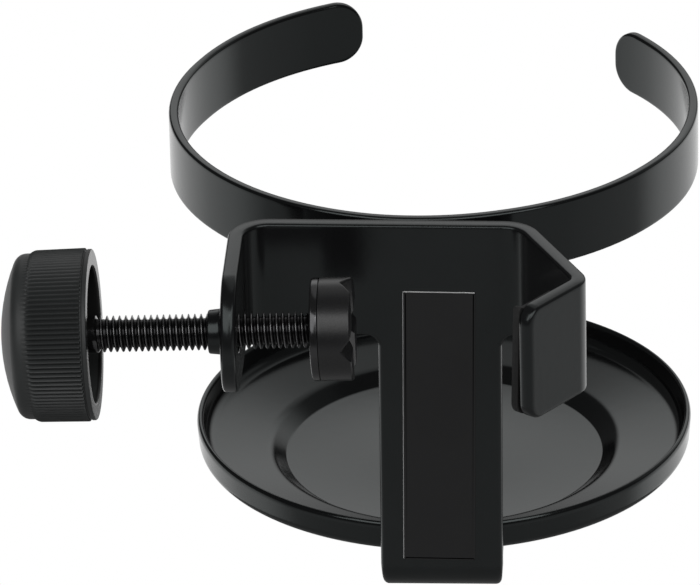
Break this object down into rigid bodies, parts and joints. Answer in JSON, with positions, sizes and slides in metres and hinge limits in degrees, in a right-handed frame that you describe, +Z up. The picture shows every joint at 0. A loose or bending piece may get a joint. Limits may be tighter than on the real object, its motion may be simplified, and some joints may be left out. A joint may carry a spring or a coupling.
{
  "type": "clamp-on drink holder",
  "caption": "Steel bracket with V-jaw and thumbscrew pad that clamps on a stand pole and carries an open cup ring over a round drip tray.",
  "frame": {"origin": "on the axis of the clamped upright pole (nominal 25 mm), at the height of the thumbscrew", "axes": "+Z up along the pole, +X along the thumbscrew from knob to jaw, +Y from the clamp towards the cup ring"},
  "size_m": [0.1097, 0.1197, 0.0709],
  "materials": {
    "bracket_coat": "satin black powder coat",
    "ring_coat": "semi-gloss black powder coat",
    "tray_coat": "semi-gloss black powder coat",
    "label_vinyl": "bare matte black vinyl",
    "liner_rubber": "matte black rubber sheet",
    "screw_steel": "black oxide on rolled thread",
    "washer_steel": "black oxide, stamped",
    "knob_plastic": "matte black moulded plastic",
    "pad_plastic": "satin black moulded plastic"
  },
  "bodies": {
    "bracket": {"clamp_bracket": "bracket_coat", "cup_ring": "ring_coat", "drip_tray": "tray_coat", "front_label": "label_vinyl", "jaw_liner": "liner_rubber"},
    "pad_carriage": {"thrust_washer": "washer_steel"},
    "thumbscrew": {"clamp_screw": "screw_steel", "knob": "knob_plastic"},
    "saddle": {"pad_saddle": "pad_plastic"}
  },
  "joints": [
    {"name": "clamp_travel", "type": "slide", "parent": "bracket", "child": "pad_carriage", "axis": [0.9996, 0, 0.0297], "range_m": [-0.011, 0.0165]},
    {"name": "screw_turn", "type": "hinge", "parent": "pad_carriage", "child": "thumbscrew", "pos_m": [-0.03751, -0.00265, 0], "axis": [0.9996, 0, 0.0297], "range_deg": [-3960, 5940]},
    {"name": "pad_swivel", "type": "hinge", "parent": "pad_carriage", "child": "saddle", "pos_m": [-0.03751, -0.00265, 0], "axis": [0.9996, 0, 0.0297], "continuous": true}
  ],
  "couplings": [
    {"joint": "clamp_travel", "follows": "screw_turn", "m_per_rad": 0.00015915}
  ]
}
